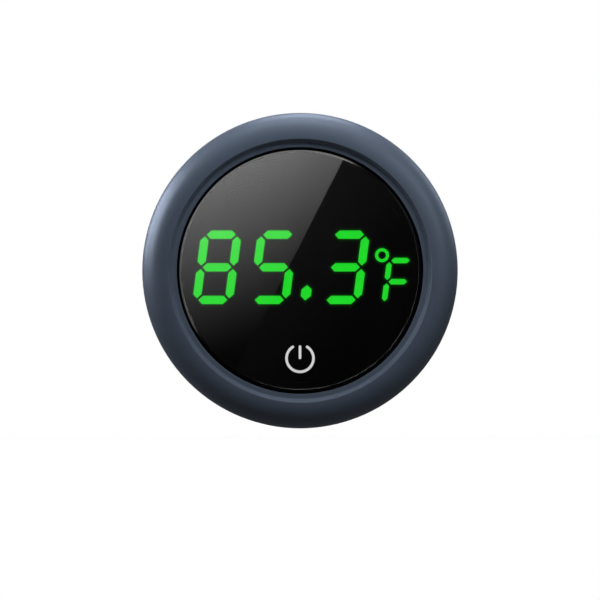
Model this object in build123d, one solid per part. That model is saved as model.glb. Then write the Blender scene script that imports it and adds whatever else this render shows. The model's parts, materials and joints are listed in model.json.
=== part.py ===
"""Round stick-on digital aquarium thermometer with a glass face, built as an assembly of its real pieces.

Every piece is drawn lying on its back: X runs to the right of the display, Y up it, and Z is the
distance out from the tank wall, so the adhesive pad starts at Z = 0 and the glass faces +Z. stand_up()
turns each finished piece upright, so that in the part's own frame the display faces -Y, +Z is up, and
the origin is where the disc's axis meets the tank wall.
"""

from build123d import *
import math
import os

# ---- Driving dimensions, in millimetres ----------------------------------------------------------
RING_RADIUS = 30.0
GLASS_RADIUS = 22.9
GLASS_THICKNESS = 1.3
GLASS_BEVEL = (0.38, 0.16)      # its width in from the edge, and its depth
DIGIT_WIDTH = 6.14      # between the centre lines of a digit's two uprights
DIGIT_ROW = 6.2         # between the centre lines of its three bars
DIGIT_STROKE = 1.58
CELL_RADIUS = 12.25     # a 2450 lithium coin cell
CELL_THICKNESS = 5.0
CLEARANCE = 0.05        # between faces that move past each other or only rest together

# ---- Levels out from the tank wall ---------------------------------------------------------------
SHELL_BACK_Z = 0.8                              # the pad's thickness
SHELL_FLOOR_Z = SHELL_BACK_Z + 1.5
CELL_Z = 2.5
BOARD_Z = CELL_Z + CELL_THICKNESS + 1.0         # rear face of the circuit board
BOARD_FRONT_Z = BOARD_Z + 1.0
FILM_Z = BOARD_FRONT_Z + 2.65                   # rear face of the black mask film
FILM_FRONT_Z = FILM_Z + 0.2
LEDGE_Z = 11.0
LEDGE_FRONT_Z = 12.2
GLASS_Z = 12.5
GLASS_FRONT_Z = GLASS_Z + GLASS_THICKNESS
LIP_Z = GLASS_FRONT_Z + 0.05

# ---- Bezel ring ----------------------------------------------------------------------------------
CROWN_RADIUS = 4.5                              # the rounded front of the ring
CROWN_R = RING_RADIUS - CROWN_RADIUS            # where the crown's centre lies
CROWN_Z = 10.7
ROOF_RADIUS = CROWN_RADIUS - 1.6                # the same rounding inside the skin
HEEL_RADIUS = 3.0                               # the rounding at the back of the ring
HEEL_R = RING_RADIUS - HEEL_RADIUS
HEEL_Z = 4.3
CREST_R = 25.05                                 # the edge where the crown drops to the glass
WALL_FOOT_R = 24.38
WALL_FOOT_Z = LIP_Z + 0.08
POCKET_R = 23.44                                # the pocket for the glass and the chamber behind it
LEDGE_R = 21.4
INNER_WALL_R = 25.0
INNER_WALL_END_Z = 2.6
SHELL_RADIUS = 28.3
SKIN_INNER_R = SHELL_RADIUS + 0.1

# ---- Fasteners -----------------------------------------------------------------------------------
CASE_SCREW_CIRCLE = 26.2
CASE_SCREW_ANGLES = (45, 135, 225, 315)
CASE_SCREW_R = 1.0
CASE_SCREW_HEAD_R = 1.75
CASE_SCREW_HOLE_END_Z = 9.0
CASE_BOSS_R = 2.2
BOARD_SCREW_CIRCLE = 22.0
BOARD_SCREW_ANGLES = (30, 150, 270)
BOARD_SCREW_R = 0.7
BOARD_SCREW_HEAD_R = 1.2
BOARD_SCREW_HOLE_END_Z = 11.7
BOARD_BOSS_R = 1.5
PEG_R = 0.75
PEG_PLACES = ((-13.0, 13.0), (13.0, 13.0))

# ---- Battery well and its screw-off cover --------------------------------------------------------
WELL_R = 15.0
WELL_WALL_R = 16.4
WELL_FOOT_R = 17.6
WELL_FOOT_Z = 3.4
WELL_TOP_Z = 7.9
COVER_BACK_Z = SHELL_BACK_Z + CLEARANCE
FLANGE_R = 16.3
FLANGE_Z = 2.0
CUP_R = CELL_RADIUS + 0.2
CUP_WALL_R = 13.9
CUP_END_Z = 6.45
LAND_R = 14.85
LAND_Z = 3.65
SEAL_GROOVE_R = 13.9
SEAL_GROOVE_Z = 2.3
SEAL_GROOVE_END_Z = 3.4
COIN_SLOT = (20.0, 2.2, 0.9)                    # length, width and depth
THREAD_LEAD = 10.0                              # how far one turn carries the cover
THREAD_STARTS = 3
THREAD_ARC = 36.0
THREAD_THICKNESS = 0.8
SHELL_THREAD_Z = 3.7
COVER_THREAD_Z = SHELL_THREAD_Z + THREAD_THICKNESS + 0.1
LOCKED_ANGLE = 90.0                             # the marks beside the cover that its arrow points to
OPEN_ANGLE = LOCKED_ANGLE - THREAD_ARC
MARK_CIRCLE = 17.25
MARK_R = 0.45
MARK_DEPTH = 0.15

# ---- Coin cell -----------------------------------------------------------------------------------
CAP_R = 10.3
CRIMP_R = 10.9
CAP_SEAT_Z = CELL_Z + 3.4
CAN_TOP_Z = CELL_Z + CELL_THICKNESS - 0.3

# ---- Seals and adhesive --------------------------------------------------------------------------
CASE_SEAL = (24.5, 23.5)                        # outer and inner radius
CASE_SEAL_Z = 1.4
PAD_R = 24.0
PAD_INNER_R = 18.0

# ---- Temperature probe ---------------------------------------------------------------------------
PROBE_Y = -20.55
PROBE_HOLE_R = 2.2
PROBE_R = PROBE_HOLE_R - CLEARANCE
PROBE_WALL = 0.3
PROBE_BORE_R = PROBE_HOLE_R - PROBE_WALL
PROBE_FLANGE_R = 2.7
PROBE_GASKET_Z = SHELL_FLOOR_Z + 0.3            # the gasket's front face, which carries the flange
PROBE_END_Z = PROBE_GASKET_Z + 0.4
BEAD_R = 1.05
BEAD_Z = 1.45
LEAD_R = 0.33
LEAD_X = 0.45                                   # each lead's distance from the bead's middle
LEAD_Z = 1.9                                    # where the leads start, inside the bead

# ---- Display -------------------------------------------------------------------------------------
BLOCK_R = 21.3
SEGMENT_GAP = 0.31
SEGMENT_CORNER = 0.1
SLANT = 0.13            # how far the figures lean sideways for each unit of height
DIGIT_Y = 0.63
TENS_X = -15.76
ONES_X = -5.03
TENTHS_X = 8.61
UNIT_CENTRE = (18.57, -2.1)
UNIT_WIDTH = 4.13
UNIT_ROW = 4.02
UNIT_STROKE = 1.04
DEGREE_CENTRE = (15.59, 2.93)
DEGREE_R = 1.33
DEGREE_HOLE_R = 0.74
POINT_CENTRE = (1.18, -4.2)
POINT_HALF_WIDTH = 0.97
POINT_HALF_HEIGHT = 1.46
POINT_SHOULDER = 0.6
SYMBOL_Y = -16.66
SYMBOL_R = 2.56         # the centre line of the touch symbol's arc
SYMBOL_STROKE = 0.49
SYMBOL_OPENING = 32.0   # half of the arc's opening, in degrees
SYMBOL_BAR = (-0.15, 2.45)                      # the bar's ends, up from the arc's centre
SPRING_WELL_R = 3.4
EPOXY_Z = BOARD_FRONT_Z + 0.7


# ---- Small helpers -------------------------------------------------------------------------------
def disc(radius, z0, z1, x=0.0, y=0.0):
    """A round plate or pin from z0 to z1."""
    return Pos(x, y, z0) * Cylinder(radius, z1 - z0, align=(Align.CENTER, Align.CENTER, Align.MIN))


def ring(outer, inner, z0, z1, x=0.0, y=0.0):
    """A flat ring from z0 to z1."""
    return disc(outer, z0, z1, x, y) - disc(inner, z0 - 1, z1 + 1, x, y)


def block(length, width, z0, z1, x=0.0, y=0.0, turn=0.0):
    """A rectangular piece standing on z0, turned about its own middle."""
    plate = Box(length, width, z1 - z0, align=(Align.CENTER, Align.CENTER, Align.MIN))
    return Pos(x, y, z0) * Rot(Z=turn) * plate


def prism(face, z0, z1):
    """A flat outline pushed from z0 up to z1."""
    return Pos(0, 0, z0) * extrude(face, z1 - z0)


def lathe(outline):
    """A closed outline in radius and z, turned about the axis."""
    return revolve(Plane.XZ * outline, axis=Axis.Z)


def tube(path, radius):
    """A round wire along a path."""
    return sweep(Plane(origin=path @ 0, z_dir=path % 0) * Circle(radius), path=path, is_frenet=True)


def around(angle, radius):
    """The point at an angle and radius about the axis."""
    return radius * math.cos(math.radians(angle)), radius * math.sin(math.radians(angle))


def rise(radius, offset):
    """How far a circle of this radius stands from the level of its centre, at an offset from it."""
    return math.sqrt(radius**2 - offset**2)


def group(pieces):
    """Several separate solids kept as one node."""
    return Compound(children=[solid for piece in pieces for solid in piece.solids()])


def round_corner(face, corner, radius):
    """Rounds the corner of a flat outline that lies at a given point."""
    here = [v for v in face.vertices() if math.hypot(v.X - corner[0], v.Y - corner[1]) < 0.02]
    return fillet(here, radius)


def cross_slot(length, width, z0, z1):
    """The cutter for a cross recess."""
    return block(length, width, z0, z1) + block(width, length, z0, z1)


# ---- Case ----------------------------------------------------------------------------------------
def bezel_outline():
    """The ring's section: crown, heel, hollow skin, inner wall, ledge behind the glass, and lip."""
    diagonal = math.sqrt(0.5)
    crest = (CREST_R, CROWN_Z + rise(CROWN_RADIUS, CROWN_R - CREST_R))
    crown_mid = (CROWN_R + CROWN_RADIUS * diagonal, CROWN_Z + CROWN_RADIUS * diagonal)
    crown_side = (RING_RADIUS, CROWN_Z)
    heel_side = (RING_RADIUS, HEEL_Z)
    heel_mid = (HEEL_R + HEEL_RADIUS * diagonal, HEEL_Z - HEEL_RADIUS * diagonal)
    heel_end = (SKIN_INNER_R, HEEL_Z - rise(HEEL_RADIUS, SKIN_INNER_R - HEEL_R))
    roof_side = (SKIN_INNER_R, CROWN_Z)
    roof_mid = (CROWN_R + ROOF_RADIUS * diagonal, CROWN_Z + ROOF_RADIUS * diagonal)
    roof_end = (INNER_WALL_R, CROWN_Z + rise(ROOF_RADIUS, CROWN_R - INNER_WALL_R))
    foot = (WALL_FOOT_R, WALL_FOOT_Z)
    lip = (POCKET_R, LIP_Z)
    outline = make_face([
        ThreePointArc(crest, crown_mid, crown_side),
        Line(crown_side, heel_side),
        ThreePointArc(heel_side, heel_mid, heel_end),
        Line(heel_end, roof_side),
        ThreePointArc(roof_side, roof_mid, roof_end),
        Polyline(
            roof_end, (INNER_WALL_R, INNER_WALL_END_Z), (POCKET_R, INNER_WALL_END_Z), (POCKET_R, LEDGE_Z),
            (LEDGE_R, LEDGE_Z), (LEDGE_R, LEDGE_FRONT_Z), (POCKET_R, LEDGE_FRONT_Z), lip, foot, crest,
        ),
    ])
    outline = round_corner(outline, crest, 0.1)
    outline = round_corner(outline, foot, 0.25)
    return round_corner(outline, lip, 0.12)


def bezel_ring():
    """The ring-shaped front housing, with the bosses for the case screws and the board screws."""
    housing = lathe(bezel_outline())
    for angle in CASE_SCREW_ANGLES:
        x, y = around(angle, CASE_SCREW_CIRCLE)
        boss = disc(CASE_BOSS_R, SHELL_FLOOR_Z, CROWN_Z, x, y) - disc(INNER_WALL_R, 0, INNER_WALL_END_Z)
        housing += boss & disc(SKIN_INNER_R + 0.2, 0, CROWN_Z)
        housing -= disc(CASE_SCREW_R, 0, CASE_SCREW_HOLE_END_Z, x, y)
    for angle in BOARD_SCREW_ANGLES:
        x, y = around(angle, BOARD_SCREW_CIRCLE)
        housing += disc(BOARD_BOSS_R, BOARD_FRONT_Z, LEDGE_Z + 0.1, x, y)
        housing -= disc(BOARD_SCREW_R, BOARD_FRONT_Z - 1, BOARD_SCREW_HOLE_END_Z, x, y)
    return housing


def thread_ramps(inner_r, outer_r, z0):
    """Short thread ramps, one for each start, between two radii. z0 is where their rear face begins."""
    middle = (inner_r + outer_r) / 2
    path = Helix(pitch=THREAD_LEAD, height=THREAD_LEAD * THREAD_ARC / 360, radius=middle)
    section = Plane.XZ * Pos(middle, 0) * Rectangle(outer_r - inner_r + 1, THREAD_THICKNESS)
    ramp = sweep(section, path=path, is_frenet=True)
    ramp = Pos(0, 0, z0 + THREAD_THICKNESS / 2) * Rot(Z=LOCKED_ANGLE - THREAD_ARC / 2) * ramp
    ramp = ramp & ring(outer_r, inner_r, z0 - 1, z0 + 4)
    return [Rot(Z=360 / THREAD_STARTS * i) * ramp for i in range(THREAD_STARTS)]


def shell_outline():
    """The rear shell's section: a flat back with the battery well's collar standing inside it."""
    back_edge = (SHELL_RADIUS, SHELL_BACK_Z)
    collar_foot = (WELL_WALL_R, WELL_FOOT_Z)
    outline = make_face(Polyline(
        (WELL_R, SHELL_BACK_Z), back_edge, (SHELL_RADIUS, SHELL_FLOOR_Z), (WELL_FOOT_R, SHELL_FLOOR_Z),
        (WELL_FOOT_R, WELL_FOOT_Z), collar_foot, (WELL_WALL_R, WELL_TOP_Z), (WELL_R, WELL_TOP_Z), close=True,
    ))
    return round_corner(round_corner(outline, back_edge, 0.8), collar_foot, 0.5)


def countersunk_head(head_r, shank_r):
    """A countersunk head lying on z = 0, its cone pointing to +Z."""
    rim, depth = 0.15, 0.9
    outline = Polyline((0, 0), (head_r, 0), (head_r, rim), (shank_r, depth), (0, depth), close=True)
    return lathe(make_face(outline))


def rear_shell():
    """The back of the case, with the threaded battery well, the seal groove and the probe's hole."""
    shell = lathe(shell_outline())
    shell -= disc(FLANGE_R + 0.2, 0, FLANGE_Z + CLEARANCE)
    shell -= ring(*CASE_SEAL, CASE_SEAL_Z, SHELL_FLOOR_Z + 1)
    shell -= disc(PROBE_HOLE_R, 0, SHELL_FLOOR_Z + 1, 0, PROBE_Y)
    countersink = countersunk_head(CASE_SCREW_HEAD_R + CLEARANCE, CASE_SCREW_R + CLEARANCE)
    for angle in CASE_SCREW_ANGLES:
        x, y = around(angle, CASE_SCREW_CIRCLE)
        shell -= disc(CASE_SCREW_R + 0.15, 0, SHELL_FLOOR_Z + 1, x, y)
        shell -= Pos(x, y, SHELL_BACK_Z) * countersink
    shell -= disc(MARK_R, 0, SHELL_BACK_Z + MARK_DEPTH, *around(LOCKED_ANGLE, MARK_CIRCLE))
    shell -= ring(MARK_R, MARK_R / 2, 0, SHELL_BACK_Z + MARK_DEPTH, *around(OPEN_ANGLE, MARK_CIRCLE))
    for ramp in thread_ramps(WELL_R - 0.95, WELL_R + 0.3, SHELL_THREAD_Z):
        shell += ramp
    return shell


def case_screws():
    """Four countersunk screws that clamp the rear shell to the bezel ring."""
    shank = disc(CASE_SCREW_R, 0.5, CASE_SCREW_HOLE_END_Z - SHELL_BACK_Z - 0.4)
    screw = countersunk_head(CASE_SCREW_HEAD_R, CASE_SCREW_R) + shank - cross_slot(2.0, 0.45, -0.1, 0.45)
    places = [Pos(*around(angle, CASE_SCREW_CIRCLE), SHELL_BACK_Z) for angle in CASE_SCREW_ANGLES]
    return group(place * Rot(Z=25 + 40 * i) * screw for i, place in enumerate(places))


def case_seal():
    """The gasket squeezed between the rear shell's groove and the end of the bezel's inner wall."""
    return ring(*CASE_SEAL, CASE_SEAL_Z, INNER_WALL_END_Z)


def adhesive_pad():
    """The foam ring that sticks to the tank, notched round the probe."""
    notch_r = PROBE_HOLE_R + 0.3
    notch = disc(notch_r, -1, 1, 0, PROBE_Y) + block(2 * notch_r, 4, -1, 1, 0, PROBE_Y + 2)
    return ring(PAD_R, PAD_INNER_R, 0, SHELL_BACK_Z) - notch


# ---- Glass face ----------------------------------------------------------------------------------
def front_glass():
    """The tempered glass disc, with a shallow polished bevel round its face and a broken edge behind."""
    width, depth = GLASS_BEVEL
    return lathe(make_face(Polyline(
        (0, GLASS_Z), (GLASS_RADIUS - 0.1, GLASS_Z), (GLASS_RADIUS, GLASS_Z + 0.1),
        (GLASS_RADIUS, GLASS_FRONT_Z - depth), (GLASS_RADIUS - width, GLASS_FRONT_Z), (0, GLASS_FRONT_Z),
        close=True,
    )))


def glass_gasket():
    """The black rubber ring in the gap round the glass."""
    return ring(POCKET_R - 0.02, GLASS_RADIUS + 0.04, LEDGE_FRONT_Z, GLASS_FRONT_Z - 0.6)


def glass_tape():
    """The double-sided tape ring that bonds the glass to the bezel's ledge and borders the display."""
    return ring(GLASS_RADIUS - 0.02, BLOCK_R, LEDGE_FRONT_Z, GLASS_Z - CLEARANCE)


# ---- Display figures -----------------------------------------------------------------------------
def lean(points, centre):
    """Points given about a figure's centre, leaned by the slant and moved to their place."""
    return [(centre[0] + x + SLANT * y, centre[1] + y) for x, y in points]


def bar_outline(centre, upright, length, stroke):
    """A segment with pointed ends about the figure's centre, before leaning."""
    tip, thick = length / 2, stroke / 2
    flat = tip - thick
    outline = [(-tip, 0), (-flat, thick), (flat, thick), (tip, 0), (flat, -thick), (-flat, -thick)]
    if upright:
        outline = [(-y, x) for x, y in outline]
    return [(centre[0] + x, centre[1] + y) for x, y in outline]


def figure_segments(centre, width, row, stroke):
    """A figure's seven segments by letter: each one's flat face, its middle, and if it is upright."""
    places = {
        "a": (0, row, False),
        "b": (width / 2, row / 2, True),
        "c": (width / 2, -row / 2, True),
        "d": (0, -row, False),
        "e": (-width / 2, -row / 2, True),
        "f": (-width / 2, row / 2, True),
        "g": (0, 0, False),
    }
    segments = {}
    for letter, (x, y, upright) in places.items():
        length = (row if upright else width) - 2 * SEGMENT_GAP
        corners = lean(bar_outline((x, y), upright, length, stroke), centre)
        face = make_face(Polyline(*corners, close=True))
        segments[letter] = (fillet(face.vertices(), SEGMENT_CORNER), lean([(x, y)], centre)[0], upright)
    return segments


def digit_segments(x):
    """The seven segments of the digit centred at x."""
    return figure_segments((x, DIGIT_Y), DIGIT_WIDTH, DIGIT_ROW, DIGIT_STROKE)


def display_figures():
    """Every figure by its node's name: its segments, and the letters that are lit."""
    unit = figure_segments(UNIT_CENTRE, UNIT_WIDTH, UNIT_ROW, UNIT_STROKE)
    return {
        "tens_digit": (digit_segments(TENS_X), "abcdefg"),
        "ones_digit": (digit_segments(ONES_X), "acdfg"),
        "tenths_digit": (digit_segments(TENTHS_X), "abcdg"),
        "unit_letter": ({letter: unit[letter] for letter in "adefg"}, "aefg"),
    }


def point_face():
    """The decimal point: a short leaning hexagon."""
    w, h, s = POINT_HALF_WIDTH, POINT_HALF_HEIGHT, POINT_SHOULDER
    corners = lean([(0, h), (w, s), (w, -s), (0, -h), (-w, -s), (-w, s)], POINT_CENTRE)
    face = make_face(Polyline(*corners, close=True))
    return fillet(face.vertices(), SEGMENT_CORNER)


def symbol_faces():
    """The touch key's symbol: an open arc with round ends, and the upright bar in its opening."""
    centre_line = CenterArc((0, SYMBOL_Y), SYMBOL_R, 90 + SYMBOL_OPENING, 360 - 2 * SYMBOL_OPENING)
    arc = make_face(offset(centre_line, SYMBOL_STROKE / 2, side=Side.BOTH).edges())
    low, high = SYMBOL_BAR
    bar = Pos(0, SYMBOL_Y + (low + high) / 2) * SlotOverall(high - low, SYMBOL_STROKE, rotation=90)
    return arc, bar


def light_windows():
    """Every outline that light comes through, apart from the degree mark and the touch symbol."""
    faces = [face for segments, _ in display_figures().values() for face, _, _ in segments.values()]
    return faces + [point_face()]


def segment_fill(face):
    """The clear epoxy that fills one segment's cavity, flush with the front of the mask film."""
    return prism(face, EPOXY_Z, FILM_FRONT_Z)


def lit_figure(name):
    """The lit segments of one figure, each a separate solid."""
    segments, lit = display_figures()[name]
    return group(segment_fill(segments[letter][0]) for letter in lit)


def unlit_segments():
    """The segments that are dark in this reading."""
    dark = []
    for segments, lit in display_figures().values():
        dark += [segment_fill(face) for letter, (face, _, _) in segments.items() if letter not in lit]
    return group(dark)


def decimal_point():
    """The decimal point's epoxy fill."""
    return segment_fill(point_face())


def degree_mark():
    """The degree mark: a round light well that narrows to a ring in the film."""
    well = disc(DEGREE_R, EPOXY_Z, FILM_Z, *DEGREE_CENTRE)
    return well + ring(DEGREE_R, DEGREE_HOLE_R, FILM_Z, FILM_FRONT_Z, *DEGREE_CENTRE)


def power_symbol():
    """The translucent white arc and bar set into the film over the touch key."""
    return group(prism(face, FILM_Z, FILM_FRONT_Z) for face in symbol_faces())


def mask_film():
    """The black film behind the glass, open at every segment, with the degree mark's dark middle."""
    film = disc(BLOCK_R - 0.05, FILM_Z, FILM_FRONT_Z)
    for face in (*light_windows(), *symbol_faces()):
        film -= prism(face, FILM_Z - 1, FILM_FRONT_Z + 1)
    film -= disc(DEGREE_R, FILM_Z - 1, FILM_FRONT_Z + 1, *DEGREE_CENTRE)
    return group([film, disc(DEGREE_HOLE_R, FILM_Z, FILM_FRONT_Z, *DEGREE_CENTRE)])


def reflector_block():
    """The moulded light block: a cavity for each segment, the spring's well, and two locating pegs."""
    body = disc(BLOCK_R, BOARD_FRONT_Z, FILM_Z)
    low, high = BOARD_FRONT_Z - 1, FILM_Z + 1
    for face in light_windows():
        body -= prism(face, low, high)
    body -= disc(DEGREE_R, low, high, *DEGREE_CENTRE)
    body -= disc(SPRING_WELL_R, low, high, 0, SYMBOL_Y)
    for angle in BOARD_SCREW_ANGLES:
        body -= disc(BOARD_BOSS_R + 0.1, low, high, *around(angle, BOARD_SCREW_CIRCLE))
    for x, y in PEG_PLACES:
        body += disc(PEG_R, BOARD_Z - 0.3, BOARD_FRONT_Z, x, y)
    return body


# ---- Circuit board and what is soldered to it ----------------------------------------------------
def main_board():
    """The round circuit board with its screw and peg holes."""
    board = disc(POCKET_R - 0.19, BOARD_Z, BOARD_FRONT_Z)
    for angle in BOARD_SCREW_ANGLES:
        hole = disc(BOARD_SCREW_R + CLEARANCE, 0, BOARD_FRONT_Z + 1)
        board -= Pos(*around(angle, BOARD_SCREW_CIRCLE)) * hole
    for x, y in PEG_PLACES:
        board -= disc(PEG_R + CLEARANCE, 0, BOARD_FRONT_Z + 1, x, y)
    return board


def board_screws():
    """Three pan-head screws that hold the board to the bezel ring."""
    head_z = BOARD_Z - 1
    head = disc(BOARD_SCREW_HEAD_R, head_z, BOARD_Z)
    head = fillet(head.edges().group_by(Axis.Z)[0], 0.35)
    screw = head + disc(BOARD_SCREW_R, BOARD_Z - 0.5, BOARD_SCREW_HOLE_END_Z - 0.2)
    screw -= cross_slot(1.5, 0.35, head_z - 0.1, BOARD_Z - 0.5)
    places = [Pos(*around(angle, BOARD_SCREW_CIRCLE)) for angle in BOARD_SCREW_ANGLES]
    return group(place * Rot(Z=15 + 35 * i) * screw for i, place in enumerate(places))


def led_chip(x, y, turn):
    """A small LED: its base with the lens moulded on top."""
    led = block(1.6, 0.8, 0, 0.25) + block(1.1, 0.8, 0.25, 0.6)
    return Pos(x, y, BOARD_FRONT_Z) * Rot(Z=turn) * led


def segment_leds():
    """One surface-mount LED behind each segment, the decimal point and the degree mark."""
    leds = []
    for segments, _ in display_figures().values():
        leds += [led_chip(x, y, 90 if upright else 0) for _, (x, y), upright in segments.values()]
    return group([*leds, led_chip(*POINT_CENTRE, 90), led_chip(*DEGREE_CENTRE, 0)])


def touch_key_led():
    """The white LED that stands inside the touch spring."""
    return led_chip(0, SYMBOL_Y, 0)


def touch_spring():
    """The sprung electrode between the board and the film, behind the touch symbol."""
    wire_r, turns, pitch = 0.2, 3.5, 0.6
    path = Helix(pitch=pitch, height=turns * pitch, radius=SPRING_WELL_R - 0.6)
    return Pos(0, SYMBOL_Y, BOARD_FRONT_Z + wire_r + CLEARANCE) * tube(path, wire_r)


# Each chip's body length and width, its pin count and pitch, and where and how it lies on the board.
CHIPS = {
    "microcontroller": (9.9, 3.9, 16, 1.27, 0, 19.55, 0),
    "display_driver": (9.9, 3.9, 16, 1.27, -19.55, 0, 90),
    "touch_controller": (2.9, 1.6, 6, 0.95, 12.6, -15.0, -40),
}


def chip_place(x, y, turn):
    """Where a chip lies on the rear of the board, its top facing the tank wall."""
    return Pos(x, y, BOARD_Z) * Rot(X=180) * Rot(Z=turn)


def chip_body(name):
    """One chip's moulded body."""
    length, width, _, _, x, y, turn = CHIPS[name]
    body = block(length, width, 0.1, 1.5)
    return chip_place(x, y, turn) * chamfer(body.edges().group_by(Axis.Z)[-1], 0.2)


def pin_outline(reach, level):
    """A chip's bent pin seen from the side: out of the body, down to the board and along it."""
    metal = 0.15
    return make_face(Polyline(
        (0, level), (reach * 0.45, level), (reach * 0.55, metal), (reach, metal), (reach, 0),
        (reach * 0.4, 0), (reach * 0.32, level - metal), (0, level - metal), close=True,
    ))


def chip_pins():
    """The bent pins of all three chips."""
    pins = []
    for _, width, count, pitch, x, y, turn in CHIPS.values():
        pin = Pos(-0.2, width / 2) * extrude(Plane.YZ * pin_outline(1.0, 0.75), 0.4, dir=(1, 0, 0))
        row = [Pos((i - (count // 2 - 1) / 2) * pitch) * pin for i in range(count // 2)]
        pins += [chip_place(x, y, turn) * Rot(Z=side) * piece for side in (0, 180) for piece in row]
    return group(pins)


def small_parts(angles, length, width, height, radius):
    """Chip resistors or capacitors set round the rear of the board."""
    part = block(length, width, BOARD_Z - height, BOARD_Z)
    return group(Pos(*around(angle, radius)) * Rot(Z=angle) * part for angle in angles)


def negative_contact():
    """The leaf spring at the middle of the board that presses on the cell's cap."""
    metal = 0.25
    top = BOARD_Z - metal / 2
    touch_z = CELL_Z + CELL_THICKNESS + CLEARANCE + metal / 2
    line = Polyline((-6, top), (-3.5, top), (1.0, touch_z), (3.4, touch_z), (4.6, touch_z + 0.35))
    leaf = extrude(Plane.XZ * trace(line, metal), 2.2, both=True)
    return leaf - block(6.5, 0.7, 0, BOARD_Z + 1, 2.0)


def positive_contacts():
    """Two bent strips that touch the side of the cell's can, just past the end of the cover's cup."""
    metal = 0.25
    inner, foot_end = CELL_RADIUS + 0.1, 14.6
    outer = inner + metal
    strip = make_face(Polyline(
        (inner, CUP_END_Z + 0.1), (outer, CUP_END_Z + 0.05), (outer, BOARD_Z - metal),
        (foot_end, BOARD_Z - metal), (foot_end, BOARD_Z), (inner, BOARD_Z), close=True,
    ))
    contact = extrude(Plane.XZ * strip, 1.5, both=True)
    return group([contact, Rot(Z=180) * contact])


# ---- Temperature probe ---------------------------------------------------------------------------
def probe_cap():
    """The thin steel cup that carries the tank's heat to the thermistor, with a flange in the case."""
    cup = disc(PROBE_R, 0, PROBE_END_Z)
    cup = fillet(cup.edges().group_by(Axis.Z)[0], 0.2)
    cup += disc(PROBE_FLANGE_R, PROBE_GASKET_Z, PROBE_END_Z)
    cup -= disc(PROBE_BORE_R, PROBE_WALL, PROBE_END_Z + 1)
    return Pos(0, PROBE_Y) * cup


def probe_gasket():
    """The washer under the probe's flange."""
    return ring(PROBE_FLANGE_R, PROBE_HOLE_R, SHELL_FLOOR_Z, PROBE_GASKET_Z, 0, PROBE_Y)


def thermistor():
    """The bead-shaped temperature sensor."""
    return Pos(0, PROBE_Y, BEAD_Z) * Rot(Y=90) * Sphere(BEAD_R)


def lead(side):
    """One insulated lead from inside the bead up to the board."""
    board_x, board_y = side * 2.2, PROBE_Y + 0.35
    points = [(side * LEAD_X, PROBE_Y, LEAD_Z), (side * LEAD_X, PROBE_Y, 4.3)]
    points += [(board_x, board_y, 6.4), (board_x, board_y, BOARD_Z)]
    return tube(FilletPolyline(*points, radius=1.4), LEAD_R)


def thermistor_leads():
    """The bead's two leads."""
    return group(lead(side) - thermistor() for side in (-1, 1))


def probe_potting():
    """The thermal epoxy that fills the cup round the bead and the start of its leads."""
    inside = thermistor()
    for side in (-1, 1):
        inside += disc(LEAD_R, LEAD_Z, PROBE_END_Z, side * LEAD_X, PROBE_Y)
    return disc(PROBE_BORE_R, PROBE_WALL, PROBE_END_Z - 0.2, 0, PROBE_Y) - inside


# ---- Battery -------------------------------------------------------------------------------------
def cover_outline():
    """The cover's section: plate, flange, land with the O-ring's groove, and the cup for the cell."""
    flange_edge = (FLANGE_R, COVER_BACK_Z)
    cup_edge = (CUP_R, CUP_END_Z)
    outline = make_face(Polyline(
        (0, COVER_BACK_Z), flange_edge, (FLANGE_R, FLANGE_Z), (LAND_R, FLANGE_Z),
        (LAND_R, SEAL_GROOVE_Z), (SEAL_GROOVE_R, SEAL_GROOVE_Z),
        (SEAL_GROOVE_R, SEAL_GROOVE_END_Z), (LAND_R, SEAL_GROOVE_END_Z), (LAND_R, LAND_Z),
        (CUP_WALL_R, LAND_Z), (CUP_WALL_R, CUP_END_Z), cup_edge, (CUP_R, CELL_Z), (0, CELL_Z), close=True,
    ))
    return round_corner(round_corner(outline, flange_edge, 0.25), cup_edge, 0.3)


def battery_cover():
    """The screw-off cover: coin-slotted plate, cup for the cell, seal groove and thread ramps."""
    cover = lathe(cover_outline())
    length, width, depth = COIN_SLOT
    cover -= prism(SlotOverall(length, width), 0, COVER_BACK_Z + depth)
    arrow = make_face(Polyline((-0.7, 13.6), (0.7, 13.6), (0, 15.1), close=True))
    cover -= prism(arrow, 0, COVER_BACK_Z + MARK_DEPTH)
    for ramp in thread_ramps(CUP_WALL_R - 0.3, WELL_R - 0.2, COVER_THREAD_Z):
        cover += ramp
    return cover


def cover_o_ring():
    """The O-ring in the cover's groove."""
    wire_r = (WELL_R - CLEARANCE - SEAL_GROOVE_R) / 2
    return Pos(0, 0, (SEAL_GROOVE_Z + SEAL_GROOVE_END_Z) / 2) * Torus(SEAL_GROOVE_R + wire_r, wire_r)


def cell_can():
    """The coin cell's steel can, its positive side towards the cover."""
    can = disc(CELL_RADIUS, CELL_Z, CAN_TOP_Z)
    can = fillet(can.edges().group_by(Axis.Z)[-1], 0.5)
    can = fillet(can.edges().group_by(Axis.Z)[0], 0.3)
    return can - disc(CRIMP_R, CAP_SEAT_Z, CAN_TOP_Z + 1)


def cell_gasket():
    """The plastic ring that insulates the cap from the can."""
    return ring(CRIMP_R, CAP_R, CAP_SEAT_Z, CAN_TOP_Z - 0.05)


def cell_cap():
    """The coin cell's negative cap."""
    cap = disc(CAP_R, CAP_SEAT_Z, CELL_Z + CELL_THICKNESS)
    return fillet(cap.edges().group_by(Axis.Z)[-1], 0.45)


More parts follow.
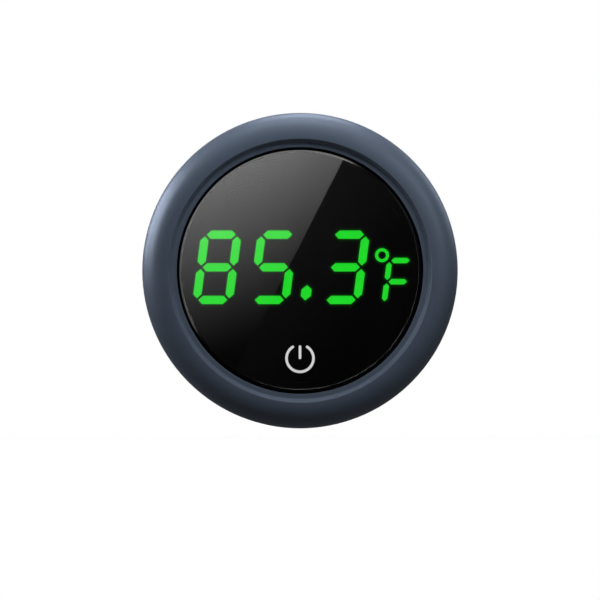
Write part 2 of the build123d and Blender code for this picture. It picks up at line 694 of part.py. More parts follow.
# ---- Write every node ----------------------------------------------------------------------------
def nodes():
    """Every piece by the name of its node."""
    return {
        "bezel_ring": bezel_ring(),
        "rear_shell": rear_shell(),
        "case_screws": case_screws(),
        "case_seal": case_seal(),
        "adhesive_pad": adhesive_pad(),
        "front_glass": front_glass(),
        "glass_gasket": glass_gasket(),
        "glass_tape": glass_tape(),
        "mask_film": mask_film(),
        "reflector_block": reflector_block(),
        "tens_digit": lit_figure("tens_digit"),
        "ones_digit": lit_figure("ones_digit"),
        "tenths_digit": lit_figure("tenths_digit"),
        "unit_letter": lit_figure("unit_letter"),
        "unlit_segments": unlit_segments(),
        "decimal_point": decimal_point(),
        "degree_mark": degree_mark(),
        "power_symbol": power_symbol(),
        "main_board": main_board(),
        "board_screws": board_screws(),
        "segment_leds": segment_leds(),
        "touch_key_led": touch_key_led(),
        "touch_spring": touch_spring(),
        "microcontroller": chip_body("microcontroller"),
        "display_driver": chip_body("display_driver"),
        "touch_controller": chip_body("touch_controller"),
        "chip_pins": chip_pins(),
        "chip_resistors": small_parts(range(-20, 21, 8), 1.6, 0.8, 0.45, 19.6),
        "chip_capacitors": small_parts((52, 62, 118, 128, 222, 232), 2.0, 1.25, 0.9, 19.8),
        "negative_contact": negative_contact(),
        "positive_contacts": positive_contacts(),
        "probe_cap": probe_cap(),
        "probe_gasket": probe_gasket(),
        "probe_potting": probe_potting(),
        "thermistor": thermistor(),
        "thermistor_leads": thermistor_leads(),
        "battery_cover": battery_cover(),
        "cover_o_ring": cover_o_ring(),
        "cell_can": cell_can(),
        "cell_gasket": cell_gasket(),
        "cell_cap": cell_cap(),
    }


def stand_up(shape):
    """Turns a piece from lying on its back to upright, with the display facing -Y."""
    return Rot(X=90) * shape


os.makedirs("parts", exist_ok=True)
for name, shape in nodes().items():
    export_step(stand_up(shape), f"parts/{name}.step")
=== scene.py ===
"""Looks for the round stick-on aquarium thermometer: its foam pad, materials, light and camera."""

import json
import math

import bmesh
import bpy
from mathutils import Matrix, Vector

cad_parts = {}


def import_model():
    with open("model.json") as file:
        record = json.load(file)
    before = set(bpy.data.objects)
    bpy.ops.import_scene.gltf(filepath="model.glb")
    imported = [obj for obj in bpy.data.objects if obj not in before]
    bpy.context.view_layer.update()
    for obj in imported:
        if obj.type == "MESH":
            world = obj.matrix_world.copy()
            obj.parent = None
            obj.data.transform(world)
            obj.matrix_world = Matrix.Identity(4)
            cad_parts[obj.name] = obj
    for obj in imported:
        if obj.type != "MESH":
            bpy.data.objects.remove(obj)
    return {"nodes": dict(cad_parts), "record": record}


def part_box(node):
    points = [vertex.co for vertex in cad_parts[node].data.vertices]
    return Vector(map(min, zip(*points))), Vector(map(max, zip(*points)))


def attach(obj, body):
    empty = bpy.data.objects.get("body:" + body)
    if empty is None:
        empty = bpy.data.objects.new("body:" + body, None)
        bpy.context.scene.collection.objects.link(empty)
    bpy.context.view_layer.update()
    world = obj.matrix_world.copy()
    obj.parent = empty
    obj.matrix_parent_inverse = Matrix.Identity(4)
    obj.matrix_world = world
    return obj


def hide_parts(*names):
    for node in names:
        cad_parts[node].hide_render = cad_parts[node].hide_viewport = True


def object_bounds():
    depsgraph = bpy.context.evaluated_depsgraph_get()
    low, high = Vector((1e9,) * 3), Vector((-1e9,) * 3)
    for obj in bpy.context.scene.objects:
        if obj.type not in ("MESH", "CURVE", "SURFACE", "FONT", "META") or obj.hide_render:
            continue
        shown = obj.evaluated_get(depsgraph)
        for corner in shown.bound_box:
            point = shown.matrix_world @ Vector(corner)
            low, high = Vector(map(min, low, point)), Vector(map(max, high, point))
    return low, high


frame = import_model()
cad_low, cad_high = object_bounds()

MM = 0.001
nodes = frame["nodes"]

# ---- Places taken from the frame, in metres ------------------------------------------------------
mounts = {mount["name"]: Vector(mount["pos_m"]) for mount in frame["record"]["mounts"]}
PROBE = mounts["sensor_face"]
glass_low, glass_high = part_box("front_glass")
GLASS_RADIUS = glass_high.x
GLASS_FACE_Y = glass_low.y
pad_low, pad_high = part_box("adhesive_pad")
PAD_RADIUS = pad_high.x
PAD_DEPTH = pad_high.y - pad_low.y

# ---- Places that repeat the CAD's, in metres -----------------------------------------------------
BEVEL_WIDTH = 0.38 * MM
CLEAR_BEVEL = 0.07 * MM                           # the part of the bevel inside its black ink
PAD_INNER_RADIUS = 18.0 * MM
NOTCH_RADIUS = 2.5 * MM
MARK_FLOOR_Y = -0.9 * MM                          # the shell's marks are cut deeper than this
LOCK_MARK = (0.0, 17.25 * MM)
OPEN_MARK = (10.14 * MM, 13.96 * MM)
MARK_RADIUS = 0.5 * MM
ARROW_FLOOR = (-1.05 * MM, -0.95 * MM)
ARROW_BAND = (13.4 * MM, 15.3 * MM)

# ---- Colours that repeat, linear -----------------------------------------------------------------
LIT_GREEN = (0.0110, 0.715, 0.0200)
BLACK_INK = (0.0006, 0.0006, 0.0007)

# ---- The glow round the lit figures --------------------------------------------------------------
LIT_FIGURES = ("tens_digit", "ones_digit", "tenths_digit", "unit_letter", "decimal_point", "degree_mark")
HALO_WIDTH = 0.75 * MM
HALO_LIFT = 0.004 * MM                            # clear of the film, so that the two don't flicker
HALO_STRENGTH = 0.045                             # at a figure's edge, as a share of the figure's own light
HALO_FALL = 2.2
WELD = 0.0005 * MM
FLAT = 0.002 * MM


# ---- Node helpers --------------------------------------------------------------------------------
SOCKETS = {
    "base_color": "Base Color",
    "metallic": "Metallic",
    "roughness": "Roughness",
    "ior": "IOR",
    "specular": "Specular IOR Level",
    "coat": "Coat Weight",
    "coat_roughness": "Coat Roughness",
    "emission_strength": "Emission Strength",
}


class Shader:
    """A material's node tree, with short calls for the nodes that the materials below share."""

    def __init__(self, name):
        self.material = bpy.data.materials.new(name)
        self.material.use_nodes = True
        self.tree = self.material.node_tree
        self.bsdf = self.tree.nodes["Principled BSDF"]
        self.place = self.tree.nodes.new("ShaderNodeTexCoord").outputs["Object"]

    def node(self, kind, **settings):
        made = self.tree.nodes.new(kind)
        for key, value in settings.items():
            setattr(made, key, value)
        return made

    def link(self, source, target):
        self.tree.links.new(source, target)

    def feed(self, sockets, values):
        """Gives each socket its value: a number, a colour, a vector or another node's output."""
        for socket, value in zip(sockets, values):
            if isinstance(value, bpy.types.NodeSocket):
                self.link(value, socket)
            elif isinstance(value, tuple) and len(socket.default_value) == 4:
                socket.default_value = (*value, 1.0)
            else:
                socket.default_value = value

    def set(self, **values):
        """Sets constants straight on the shader's sockets, such as base_color or coat."""
        for key, value in values.items():
            self.feed([self.bsdf.inputs[SOCKETS[key]]], [value])

    def math(self, operation, a, b=0.0, c=0.0, clamp=False):
        """One arithmetic step on sockets or numbers."""
        made = self.node("ShaderNodeMath", operation=operation, use_clamp=clamp)
        self.feed(made.inputs, (a, b, c))
        return made.outputs["Value"]

    def shift(self, offset=(0, 0, 0), scale=(1, 1, 1)):
        """Object coordinates moved by an offset, then scaled."""
        made = self.node("ShaderNodeMapping", vector_type="POINT")
        self.feed([made.inputs["Location"], made.inputs["Scale"]], [tuple(-v for v in offset), scale])
        self.link(self.place, made.inputs["Vector"])
        return made.outputs["Vector"]

    def axis(self, letter):
        """One object coordinate."""
        made = self.node("ShaderNodeSeparateXYZ")
        self.link(self.place, made.inputs["Vector"])
        return made.outputs[letter]

    def radius(self, x=0.0, z=0.0):
        """The distance from a line along Y through x and z."""
        made = self.node("ShaderNodeVectorMath", operation="LENGTH")
        self.link(self.shift((x, 0, z), (1, 0, 1)), made.inputs[0])
        return made.outputs["Value"]

    def between(self, value, low, high, soft):
        """1 where a value lies between two limits and 0 outside them, with soft edges."""
        rise = self.span(value, 0.0, 1.0, low - soft / 2, low + soft / 2)
        fall = self.span(value, 1.0, 0.0, high - soft / 2, high + soft / 2)
        return self.math("MULTIPLY", rise, fall)

    def noise(self, scale, detail=2.0, roughness=0.5, place=None):
        """Noise whose scale is in features per metre."""
        made = self.node("ShaderNodeTexNoise")
        self.feed([made.inputs[k] for k in ("Vector", "Scale", "Detail", "Roughness")],
                  [place or self.place, scale, detail, roughness])
        return made.outputs["Fac"]

    def cells(self, scale):
        """The distance to the middle of the nearest Voronoi cell, with scale in cells per metre."""
        made = self.node("ShaderNodeTexVoronoi", feature="F1")
        self.feed([made.inputs["Vector"], made.inputs["Scale"]], [self.place, scale])
        return made.outputs["Distance"]

    def turned(self, x, z, lines):
        """Fine circles about a line along Y, as a lathe leaves them, in lines per metre."""
        unevenness = 6.0                          # in radians of the wave
        wave = self.math("MULTIPLY", self.radius(x, z), lines * 2 * math.pi)
        wave = self.math("ADD", wave, self.math("MULTIPLY", self.noise(900, 2), unevenness))
        return self.span(self.math("SINE", wave), 0.0, 1.0, -1.0, 1.0)

    def ramp(self, source, stops):
        """Maps a value to colours given as (position, colour) stops."""
        made = self.node("ShaderNodeValToRGB")
        elements = made.color_ramp.elements
        while len(elements) < len(stops):
            elements.new(0.5)
        for element, (position, colour) in zip(elements, stops):
            element.position = position
            element.color = (*colour, 1.0)
        self.link(source, made.inputs["Fac"])
        return made.outputs["Color"]

    def span(self, source, low, high, from_low=0.0, from_high=1.0):
        """Maps a value from one range to another."""
        made = self.node("ShaderNodeMapRange")
        self.feed([made.inputs[k] for k in ("Value", "From Min", "From Max", "To Min", "To Max")],
                  [source, from_low, from_high, low, high])
        return made.outputs["Result"]

    def mix(self, factor, a, b):
        """Mixes two colours, each a tuple or a socket."""
        made = self.node("ShaderNodeMix", data_type="RGBA")
        self.feed([s for s in made.inputs if s.enabled], (factor, a, b))
        return [s for s in made.outputs if s.enabled][0]

    def colour(self, source):
        self.link(source, self.bsdf.inputs["Base Color"])

    def gloss(self, source):
        self.link(source, self.bsdf.inputs["Roughness"])

    def bump(self, source, depth):
        """Adds bump, with depth as the height in metres of a value of one."""
        made = self.node("ShaderNodeBump")
        made.inputs["Distance"].default_value = depth
        self.link(source, made.inputs["Height"])
        self.link(made.outputs["Normal"], self.bsdf.inputs["Normal"])


def shades(colour, spread):
    """Two ramp stops a little darker and lighter than a colour."""
    dark = tuple(c * (1 - spread) for c in colour)
    light = tuple(min(1.0, c * (1 + spread)) for c in colour)
    return [(0.3, dark), (0.7, light)]


# ---- Materials seen from the front ---------------------------------------------------------------
def slate_soft_touch():
    """The ring's slate-blue soft-touch plastic, faintly mottled, with painted shade inside the case:
    near-black within the glass's radius.
    """
    s = Shader("slate_soft_touch")
    s.set(specular=0.5)
    outside = s.ramp(s.noise(260, 4, 0.6), shades((0.108, 0.142, 0.200), 0.03))
    # Painted shade: the slate is turned near-black inside the glass's radius, where the closed case would be
    # in shade, so that no light shows through the gap round the glass.
    inside = s.math("LESS_THAN", s.radius(), GLASS_RADIUS)
    s.colour(s.mix(inside, outside, (0.001, 0.001, 0.0012)))
    s.gloss(s.span(s.noise(900, 3), 0.40, 0.44))
    s.bump(s.noise(9000, 2), 0.000004)
    return s.material


def clear_glass():
    """Polished glass with the faintest smears. Its bevel's outer part and its rim are inked black."""
    s = Shader("clear_glass")
    s.set(ior=1.5)
    ink = s.math("GREATER_THAN", s.radius(), GLASS_RADIUS - BEVEL_WIDTH + CLEAR_BEVEL)
    s.colour(s.mix(ink, (1.0, 1.0, 1.0), BLACK_INK))
    s.link(s.math("SUBTRACT", 1.0, ink), s.bsdf.inputs["Transmission Weight"])
    smears = s.span(s.noise(120, 5, 0.7), 0.0, 0.006, 0.5, 0.8)
    s.gloss(s.math("ADD", smears, s.math("MULTIPLY", ink, 0.12)))
    return s.material


def black_film():
    """Black printed film, a shade off dead black."""
    s = Shader("black_film")
    s.set(specular=0.0)
    s.colour(s.ramp(s.noise(600, 3), shades((0.0004, 0.0004, 0.0005), 0.15)))
    s.gloss(s.span(s.noise(2500, 2), 0.5, 0.6))
    return s.material


def lit(name, colour, strength):
    """A segment or symbol lit from behind, with the faint unevenness of its diffusing fill."""
    s = Shader(name)
    s.set(base_color=(0.004, 0.004, 0.004), roughness=0.4, specular=0.0, emission_strength=strength)
    s.link(s.ramp(s.noise(700, 3), shades(colour, 0.03)), s.bsdf.inputs["Emission Color"])
    return s.material


def halo(colour, strength):
    """The glow that lit figures spill on the film, fading out across a strip round each one."""
    s = Shader("halo")
    edge = s.node("ShaderNodeAttribute", attribute_name="glow").outputs["Fac"]
    glow = s.node("ShaderNodeEmission")
    s.link(s.ramp(s.noise(700, 3), shades(colour, 0.03)), glow.inputs["Color"])
    blend = s.node("ShaderNodeMixShader")
    s.feed(blend.inputs, (s.math("MULTIPLY", s.math("POWER", edge, HALO_FALL), strength),
                          s.node("ShaderNodeBsdfTransparent").outputs[0], glow.outputs[0]))
    s.link(blend.outputs[0], s.tree.nodes["Material Output"].inputs["Surface"])
    return s.material


def rubber(name, colour, roughness, specular=0.35):
    """Moulded rubber with a dusty bloom and a fine grain."""
    s = Shader(name)
    s.set(specular=specular)
    s.colour(s.ramp(s.noise(800, 4, 0.6), shades(colour, 0.2)))
    s.gloss(s.span(s.noise(1500, 2), roughness - 0.08, roughness + 0.08))
    s.bump(s.noise(7000, 2), 0.000006)
    return s.material


# ---- Materials of the back and the inside --------------------------------------------------------
def moulded_black():
    """The shell's and cover's black plastic: spark-eroded grain, with the marks filled in white."""
    s = Shader("black_plastic")
    s.set(specular=0.5)
    body = s.ramp(s.noise(420, 4, 0.6), shades((0.026, 0.028, 0.032), 0.12))
    deep = s.math("LESS_THAN", s.axis("Y"), MARK_FLOOR_Y)
    marks = s.math("LESS_THAN", s.radius(*LOCK_MARK), MARK_RADIUS)
    marks = s.math("MAXIMUM", marks, s.math("LESS_THAN", s.radius(*OPEN_MARK), MARK_RADIUS))
    arrow = s.between(s.axis("Y"), *ARROW_FLOOR, 0.01 * MM)
    arrow = s.math("MULTIPLY", arrow, s.between(s.axis("Z"), *ARROW_BAND, 0.01 * MM))
    arrow = s.math("MULTIPLY", arrow, s.math("LESS_THAN", s.radius(), ARROW_BAND[1]))
    paint = s.math("MAXIMUM", s.math("MULTIPLY", deep, marks), arrow)
    s.colour(s.mix(paint, body, (0.62, 0.62, 0.60)))
    s.gloss(s.span(s.noise(1300, 3), 0.44, 0.56))
    s.bump(s.math("ADD", s.noise(5200, 3, 0.6), s.cells(3800)), 0.000016)
    return s.material


def metal(name, colour, roughness, axis=None, lines=5200, scratches=0.3):
    """Plated or bare metal: turned circles about an axis, or a drawn grain, under fine scratches."""
    s = Shader(name)
    s.set(metallic=1.0)
    grain = s.turned(*axis, lines) if axis else s.noise(1.0, 3, 0.6, s.shift(scale=(900, 9000, 9000)))
    haze = s.noise(700, 4, 0.65)
    s.colour(s.ramp(haze, shades(colour, 0.06)))
    marks = s.noise(1.0, 2, 0.5, s.shift(scale=(14000, 14000, 600)))
    rough = s.math("ADD", s.span(haze, -0.05, 0.06), s.span(marks, -0.05, 0.05 + 0.1 * scratches))
    s.gloss(s.math("ADD", rough, roughness, clamp=True))
    s.bump(grain, 0.0000016)
    return s.material


def circuit_board():
    """Solder mask over copper: paler straight tracks and pours show through dark green, with tinned vias."""
    s = Shader("board_green")
    s.set(specular=0.5, coat=0.5, coat_roughness=0.15)
    lines = []
    for first, second, width, height in (("X", "Z", 6.2, 1.0), ("Z", "X", 7.4, 1.6)):
        flat = s.node("ShaderNodeCombineXYZ")
        s.feed(flat.inputs, (s.axis(first), s.axis(second), 0.0))
        brick = s.node("ShaderNodeTexBrick")
        names = ("Vector", "Scale", "Mortar Size", "Mortar Smooth", "Brick Width", "Row Height")
        s.feed([brick.inputs[k] for k in names], [flat.outputs[0], 1000, 0.09, 0.1, width, height])
        lines.append(brick.outputs["Fac"])
    zone = s.math("GREATER_THAN", s.noise(150, 0), 0.5)
    across = s.math("MULTIPLY", lines[0], zone)
    upright = s.math("MULTIPLY", lines[1], s.math("SUBTRACT", 1.0, zone))
    pours = s.math("GREATER_THAN", s.noise(110, 0), 0.58)
    copper = s.math("MAXIMUM", s.math("MAXIMUM", across, upright), s.math("MULTIPLY", pours, 0.6))
    mask = s.mix(copper, (0.006, 0.055, 0.024), (0.016, 0.130, 0.052))
    vias = s.math("LESS_THAN", s.cells(300), 0.10)
    s.colour(s.mix(vias, mask, (0.55, 0.53, 0.48)))
    s.gloss(s.span(s.noise(900, 3), 0.22, 0.34))
    s.bump(s.math("ADD", copper, s.math("MULTIPLY", s.cells(2200), 0.15)), 0.00002)
    return s.material


def moulded(name, colour, roughness, specular=0.5, grain=4500, depth=0.000006):
    """Plain moulded plastic, epoxy or ceramic with mottled tone and a fine grain."""
    s = Shader(name)
    s.set(specular=specular)
    s.colour(s.ramp(s.noise(500, 4, 0.6), shades(colour, 0.08)))
    s.gloss(s.span(s.noise(grain / 3, 2), roughness - 0.06, roughness + 0.06))
    s.bump(s.noise(grain, 2), depth)
    return s.material


def light_block():
    """The light block's white moulding, with its face and the foot of its rim printed black."""
    s = Shader("white_plastic")
    body = s.ramp(s.noise(500, 4, 0.6), shades((0.75, 0.75, 0.72), 0.08))
    print_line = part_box("reflector_block")[0].y + 0.3 * MM
    printed = s.math("LESS_THAN", s.axis("Y"), print_line)
    s.colour(s.mix(printed, body, BLACK_INK))
    s.link(s.span(printed, 0.5, 0.0), s.bsdf.inputs["Specular IOR Level"])
    s.gloss(s.span(s.noise(1500, 2), 0.44, 0.56))
    s.bump(s.noise(4500, 2), 0.000006)
    return s.material


def ceramic_chips(name, body):
    """Chip resistors or capacitors: fired ceramic with a fine grain."""
    s = Shader(name)
    s.colour(s.ramp(s.noise(900, 3), shades(body, 0.12)))
    s.gloss(s.span(s.noise(2500, 2), 0.35, 0.5))
    s.bump(s.noise(9000, 2), 0.000004)
    return s.material


def foam():
    """Black closed-cell foam: fine open pores where it was cut, under a satin skin of adhesive."""
    s = Shader("foam_pad")
    s.set(specular=0.4)
    pores = s.cells(5200)
    fine = s.cells(11000)
    depth = s.math("MINIMUM", pores, s.math("MULTIPLY", fine, 1.6))
    tone = s.math("ADD", s.math("MULTIPLY", depth, 0.7), s.math("MULTIPLY", s.noise(300, 4, 0.6), 0.5))
    s.colour(s.ramp(tone, [(0.15, (0.012, 0.012, 0.013)), (0.75, (0.040, 0.040, 0.043))]))
    s.gloss(s.span(s.noise(240, 4, 0.6), 0.5, 0.8))
    s.bump(s.math("MINIMUM", depth, 0.5), 0.00006)
    return s.material


MATERIALS = {
    "slate_soft_touch": slate_soft_touch(),
    "black_plastic": moulded_black(),
    "steel_screw": metal("steel_screw", (0.50, 0.50, 0.51), 0.30),
    "black_rubber": rubber("black_rubber", (0.003, 0.003, 0.0035), 0.7, specular=0.08),
    "red_rubber": rubber("red_rubber", (0.30, 0.035, 0.020), 0.42),
    "foam_pad": foam(),
    "clear_glass": clear_glass(),
    "black_tape": moulded("black_tape", (0.0004, 0.0004, 0.0005), 0.6, specular=0.0),
    "black_film": black_film(),
    "white_plastic": light_block(),
    "green_lit": lit("green_lit", LIT_GREEN, 1.0),
    "halo": halo(LIT_GREEN, HALO_STRENGTH),
    "segment_dark": moulded("segment_dark", BLACK_INK, 0.55, specular=0.0),
    "white_lit": lit("white_lit", (0.68, 0.68, 0.68), 1.0),
    "board_green": circuit_board(),
    "led_body": moulded("led_body", (0.72, 0.70, 0.58), 0.35),
    "spring_steel": metal("spring_steel", (0.66, 0.64, 0.58), 0.26),
    "chip_black": moulded("chip_black", (0.018, 0.018, 0.020), 0.55, grain=9000, depth=0.00001),
    "tinned_metal": metal("tinned_metal", (0.72, 0.72, 0.72), 0.28),
    "capacitor_tan": ceramic_chips("capacitor_tan", (0.30, 0.19, 0.09)),
    "nickel_contact": metal("nickel_contact", (0.68, 0.65, 0.58), 0.24),
    "stainless": metal("stainless", (0.58, 0.58, 0.57), 0.24, (PROBE.x, PROBE.z)),
    "epoxy_grey": moulded("epoxy_grey", (0.16, 0.16, 0.16), 0.4),
    "epoxy_black": moulded("epoxy_black", (0.015, 0.015, 0.015), 0.2),
    "lead_sleeve": moulded("lead_sleeve", (0.35, 0.025, 0.018), 0.4),
    "nickel_cell": metal("nickel_cell", (0.66, 0.66, 0.64), 0.22, (0.0, 0.0), lines=3600),
    "cell_plastic": moulded("cell_plastic", (0.03, 0.03, 0.03), 0.45),
}


def paint_nodes():
    """Gives every CAD node the material of its slot in the record."""
    for part in frame["record"]["subparts"]:
        for slot in nodes[part["node"]].material_slots:
            slot.material = MATERIALS[part["material_slot"]]


# ---- Foam pad ------------------------------------------------------------------------------------
def pad_paths(stations):
    """Matching points along the pad's inner edge, notch included, and its round outer edge."""
    inner, outer = [], []
    mouth = math.asin(NOTCH_RADIUS / PAD_INNER_RADIUS)
    start = -math.pi / 2 + mouth
    arc = 2 * (math.pi - mouth)
    for i in range(stations):
        angle = start + arc * i / (stations - 1)
        direction = Vector((math.cos(angle), 0, math.sin(angle)))
        inner.append(direction * PAD_INNER_RADIUS)
        outer.append(direction * PAD_RADIUS)
    steps = stations // 4
    left, right = inner[-1], inner[0]
    foot = PROBE.z
    route = [left.lerp(Vector((left.x, 0, foot)), (i + 1) / 4) for i in range(4)]
    for i in range(1, steps):
        turn = math.pi + math.pi * i / steps
        route.append(Vector((NOTCH_RADIUS * math.cos(turn), 0, foot + NOTCH_RADIUS * math.sin(turn))))
    route += [Vector((right.x, 0, foot)).lerp(right, i / 4) for i in range(4)]
    for i, point in enumerate(route):
        angle = start - 2 * mouth + 2 * mouth * (i + 1) / (len(route) + 1)
        inner.append(point)
        outer.append(Vector((math.cos(angle), 0, math.sin(angle))) * PAD_RADIUS)
    return inner, outer


def pad_section(width):
    """The pad's section between its two edges: (distance in, height) pairs, with soft pressed edges."""
    soft, bulge = 0.16 * MM, 0.05 * MM
    edge = [(soft, 0.0), (soft * 0.3, soft * 0.3), (0.0, soft), (bulge, PAD_DEPTH / 2)]
    near = edge + [(0.0, PAD_DEPTH - soft), (soft * 0.3, PAD_DEPTH - soft * 0.3), (soft, PAD_DEPTH)]
    far = [(width - inset, height) for inset, height in reversed(near)]
    return near + [(width / 2, PAD_DEPTH)] + far + [(width / 2, 0.0)]


def foam_pad():
    """The die-cut foam ring that replaces the plain CAD pad, with a notch round the probe."""
    inner, outer = pad_paths(360)
    bm = bmesh.new()
    loops = []
    for near, far in zip(inner, outer):
        across = far - near
        section = pad_section(across.length)
        across.normalize()
        loops.append([bm.verts.new(near + across * inset + Vector((0, pad_high.y - height, 0)))
                      for inset, height in section])
    for here, after in zip(loops, loops[1:] + loops[:1]):
        for i in range(len(here)):
            j = (i + 1) % len(here)
            bm.faces.new((here[i], here[j], after[j], after[i]))
    bmesh.ops.recalc_face_normals(bm, faces=bm.faces)
    for face in bm.faces:
        face.smooth = True
    mesh = bpy.data.meshes.new("foam_pad")
    bm.to_mesh(mesh)
    bm.free()
    obj = bpy.data.objects.new("foam_pad", mesh)
    bpy.context.scene.collection.objects.link(obj)
    mesh.materials.append(MATERIALS["foam_pad"])
    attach(obj, "housing")
    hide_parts("adhesive_pad")


# ---- Halo round the lit figures ------------------------------------------------------------------
def figure_face(bm, name):
    """Adds a node's front faces to a mesh, in the frame's axes, and returns them."""
    source = nodes[name]
    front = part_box(name)[0].y
    added = bmesh.new()
    added.from_mesh(source.data)
    added.transform(source.matrix_world)
    bmesh.ops.remove_doubles(added, verts=added.verts, dist=WELD)
    corners = {}
    made = []
    for face in added.faces:
        if all(abs(vert.co.y - front) < FLAT for vert in face.verts):
            for vert in face.verts:
                if vert not in corners:
                    corners[vert] = bm.verts.new(vert.co)
            made.append(bm.faces.new([corners[vert] for vert in face.verts]))
    added.free()
    return made


def figure_halo():
    """Strips just above the film, each from a lit figure's outline out to where its glow has faded."""
    bm = bmesh.new()
    glow = bm.verts.layers.float.new("glow")
    faces = []
    for name in LIT_FIGURES:
        faces += figure_face(bm, name)
    rims = [edge for edge in bm.edges if len(edge.link_faces) == 1]
    away = {}
    for edge in rims:
        a, b = edge.verts
        across = (b.co - a.co).cross(Vector((0, 1, 0))).normalized()
        middle = (a.co + b.co) / 2
        if across.dot(edge.link_faces[0].calc_center_median() - middle) > 0:
            across.negate()
        for vert in (a, b):
            away[vert] = away.get(vert, Vector()) + across
    outer = {}
    for vert, direction in away.items():
        outer[vert] = bm.verts.new(vert.co + direction.normalized() * HALO_WIDTH)
        vert[glow] = 1.0
    for edge in rims:
        a, b = edge.verts
        bm.faces.new((a, b, outer[b], outer[a]))
    bmesh.ops.delete(bm, geom=faces, context="FACES_ONLY")
    mesh = bpy.data.meshes.new("figure_halo")
    bm.to_mesh(mesh)
    bm.free()
    obj = bpy.data.objects.new("figure_halo", mesh)
    bpy.context.scene.collection.objects.link(obj)
    obj.location = (0, -HALO_LIFT, 0)
    obj.visible_shadow = False
    mesh.materials.append(MATERIALS["halo"])
    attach(obj, "housing")


# ---- Stage, light and camera ---------------------------------------------------------------------
MIDDLE = Vector((0, (cad_low.y + cad_high.y) / 2, 0))
CAMERA_AIM_Y = -10.7 * MM                         # the plane that the camera's distance starts from
CAMERA_DISTANCE = 3.8022
CAMERA_HEIGHT = -5.58 * MM
ROOM_LIGHT = 0.10
FRONT_LIGHT = 0.002                               # the room straight ahead of the display
SHINE_TINT = (1.0, 1.15, 1.45)                   # the highlights are a little bluer than the ring


def floor():
    """A pale floor under the ring, which glows a little and fades into the white background."""
    bm = bmesh.new()
    bmesh.ops.create_circle(bm, cap_ends=True, segments=96, radius=3.0)
    mesh = bpy.data.meshes.new("floor")
    bm.to_mesh(mesh)
    bm.free()
    obj = bpy.data.objects.new("floor", mesh)
    bpy.context.scene.collection.objects.link(obj)
    obj.location = (0, 0, cad_low.z - 0.02 * MM)
    obj.visible_diffuse = False
    obj.visible_glossy = False
    obj.visible_shadow = False
    s = Shader("floor")
    s.set(base_color=(0.16, 0.16, 0.16), roughness=0.9, specular=0.0, emission_strength=0.93)
    s.bsdf.inputs["Emission Color"].default_value = (1, 1, 1, 1)
    reach = s.node("ShaderNodeVectorMath", operation="LENGTH")
    s.link(s.place, reach.inputs[0])
    fade = s.span(reach.outputs["Value"], 0.0, 1.0, 0.10, 0.35)
    clear = s.node("ShaderNodeBsdfTransparent")
    blend = s.node("ShaderNodeMixShader")
    s.feed(blend.inputs, (fade, s.bsdf.outputs[0], clear.outputs[0]))
    s.link(blend.outputs[0], s.tree.nodes["Material Output"].inputs["Surface"])
    mesh.materials.append(s.material)


def from_display(tilt, side, distance):
    """A place at a tilt in degrees from straight out of the display, towards a side counted from +X."""
    t, p = math.radians(tilt), math.radians(side)
    return MIDDLE + distance * Vector((math.sin(t) * math.cos(p), -math.cos(t), math.sin(t) * math.sin(p)))


def soft_light(name, place, diameter, radiance, shine=False):
    """A round soft light aimed at the middle, which the camera can't see.

    It either lights what is matt or, as a shine, shows only as a highlight on what is glossy.
    """
    data = bpy.data.lights.new(name, "AREA")
    data.shape = "DISK"
    data.size = diameter
    data.energy = radiance * math.pi * math.pi * (diameter / 2) ** 2
    data.color = SHINE_TINT if shine else (1.0, 1.0, 1.0)
    obj = bpy.data.objects.new(name, data)
    bpy.context.scene.collection.objects.link(obj)
    obj.location = place
    obj.rotation_mode = "QUATERNION"
    obj.rotation_quaternion = (MIDDLE - place).to_track_quat("-Z", "Y")
    obj.visible_camera = False
    obj.visible_diffuse = not shine
    obj.visible_glossy = shine


def far_light(name, tilt, side, radiance, shine=False):
    """A soft light at the usual distance and of the usual size."""
    soft_light(name, from_display(tilt, side, 0.4), 0.22, radiance, shine)


def lights():
    """Matt and glossy light are set apart, so that the highlights are no brighter than they should be."""
    far_light("top_fill", 90, 88, 1.2)
    far_light("top_shine", 90, 88, 9.7, shine=True)
    far_light("top_back_shine", 120, 88, 4.2, shine=True)
    far_light("left_fill", 95, 158, 3.8)
    far_light("left_shine", 85, 158, 7.8, shine=True)
    far_light("left_back_shine", 115, 158, 6.4, shine=True)
    far_light("right_shine", 45, 30, 2.1, shine=True)
    far_light("right_back_shine", 125, 30, 1.4, shine=True)
    soft_light("above_front", MIDDLE + Vector((0, -0.10, 0.12)), 0.06, 9.5)
    soft_light("right_front", MIDDLE + Vector((0.09, -0.10, 0.09)), 0.06, 4.2)
    far_light("rear_fill", 160, 110, 12.0)
    soft_light("rear_shine", from_display(172, 80, 0.5), 0.55, 0.22, shine=True)


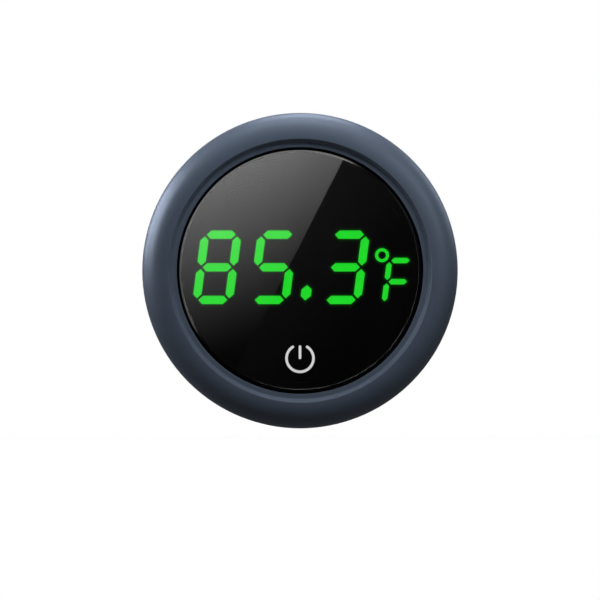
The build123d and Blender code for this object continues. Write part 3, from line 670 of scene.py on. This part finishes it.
def window_card():
    """The card in front that the glass mirrors: bright left of one slanting edge, a faint haze right of it.

    Its object coordinates are those of the points on the glass that mirror it to the camera.
    """
    ahead = 0.25
    grow = 1 + ahead / (GLASS_FACE_Y - CAMERA_AIM_Y + CAMERA_DISTANCE)
    bm = bmesh.new()
    bmesh.ops.create_grid(bm, x_segments=1, y_segments=1, size=0.3)
    mesh = bpy.data.meshes.new("window_card")
    bmesh.ops.rotate(bm, verts=bm.verts, cent=(0, 0, 0), matrix=Matrix.Rotation(math.radians(90), 3, "X"))
    bm.to_mesh(mesh)
    bm.free()
    obj = bpy.data.objects.new("window_card", mesh)
    bpy.context.scene.collection.objects.link(obj)
    obj.location = (0, GLASS_FACE_Y - ahead, CAMERA_HEIGHT * (1 - grow))
    obj.scale = (grow, 1, grow)
    obj.visible_camera = False
    obj.visible_diffuse = False
    obj.visible_shadow = False

    s = Shader("window_card")
    x, z = s.axis("X"), s.axis("Z")
    slant, edge_x, edge_z = math.radians(26.9), -3.5 * MM, -2.0 * MM
    past_edge = s.math("SUBTRACT",
                       s.math("MULTIPLY", s.math("SUBTRACT", x, edge_x), math.cos(slant)),
                       s.math("MULTIPLY", s.math("SUBTRACT", z, edge_z), math.sin(slant)))

    lean, foot, sag, most_sag = -0.63, -10.6 * MM, 9.0, 5 * MM
    rise = s.math("SUBTRACT", s.math("MULTIPLY_ADD", x, lean, z), foot)
    bow = s.math("MULTIPLY", s.math("MULTIPLY", x, x), sag)
    rise = s.math("SUBTRACT", rise, s.math("MINIMUM", bow, most_sag))
    rise = s.math("MAXIMUM", rise, 0.0)
    growth, least = 1540, 0.02
    bright = s.math("MULTIPLY_ADD", s.math("MULTIPLY", rise, rise), growth, least)
    bright = s.math("MINIMUM", bright, s.span(z, 1.9, 3.9, 10 * MM, 100 * MM))
    haze = s.math("MULTIPLY", s.span(past_edge, 0.059, 0.023, 0.0, 16 * MM),
                  s.span(z, 0.5, 1.15, -20 * MM, 12 * MM))
    left = s.math("LESS_THAN", past_edge, 0.0)
    glow = s.node("ShaderNodeEmission")
    s.link(s.math("ADD", s.math("MULTIPLY", bright, left),
                  s.math("MULTIPLY", haze, s.math("SUBTRACT", 1.0, left))), glow.inputs["Strength"])
    s.link(glow.outputs[0], s.tree.nodes["Material Output"].inputs["Surface"])
    mesh.materials.append(s.material)
    only_glass = bpy.data.collections.new("mirrors_the_card")
    only_glass.objects.link(nodes["front_glass"])
    obj.light_linking.receiver_collection = only_glass


def world():
    """White where the camera looks. For the rest a dim room, darkest in front, which the glass mirrors."""
    made = bpy.data.worlds.new("studio")
    made.use_nodes = True
    bpy.context.scene.world = made
    tree = made.node_tree
    path = tree.nodes.new("ShaderNodeLightPath")
    mix = tree.nodes.new("ShaderNodeMix")
    mix.data_type = "RGBA"
    sockets = [s for s in mix.inputs if s.enabled]
    tree.links.new(path.outputs["Is Camera Ray"], sockets[0])
    ahead = tree.nodes.new("ShaderNodeVectorMath")
    ahead.operation = "DOT_PRODUCT"
    tree.links.new(tree.nodes.new("ShaderNodeTexCoord").outputs["Generated"], ahead.inputs[0])
    ahead.inputs[1].default_value = (0, -1, 0)
    room = tree.nodes.new("ShaderNodeMapRange")
    for socket, value in (("From Min", 0.6), ("From Max", 0.9), ("To Min", ROOM_LIGHT),
                          ("To Max", FRONT_LIGHT)):
        room.inputs[socket].default_value = value
    tree.links.new(ahead.outputs["Value"], room.inputs["Value"])
    tree.links.new(room.outputs["Result"], sockets[1])
    sockets[2].default_value = (1, 1, 1, 1)
    tree.links.new([s for s in mix.outputs if s.enabled][0], tree.nodes["Background"].inputs["Color"])


def camera():
    """A long lens square to the display, a little below its middle."""
    data = bpy.data.cameras.new("camera")
    data.lens = 1200.0
    data.sensor_width = 36.0
    obj = bpy.data.objects.new("camera", data)
    bpy.context.scene.collection.objects.link(obj)
    obj.location = (0, CAMERA_AIM_Y - CAMERA_DISTANCE, CAMERA_HEIGHT)
    obj.rotation_euler = (math.radians(90), 0, 0)
    bpy.context.scene.camera = obj


paint_nodes()
foam_pad()
figure_halo()
floor()
world()
lights()
window_card()
camera()
bpy.context.scene.view_settings.view_transform = "Standard"
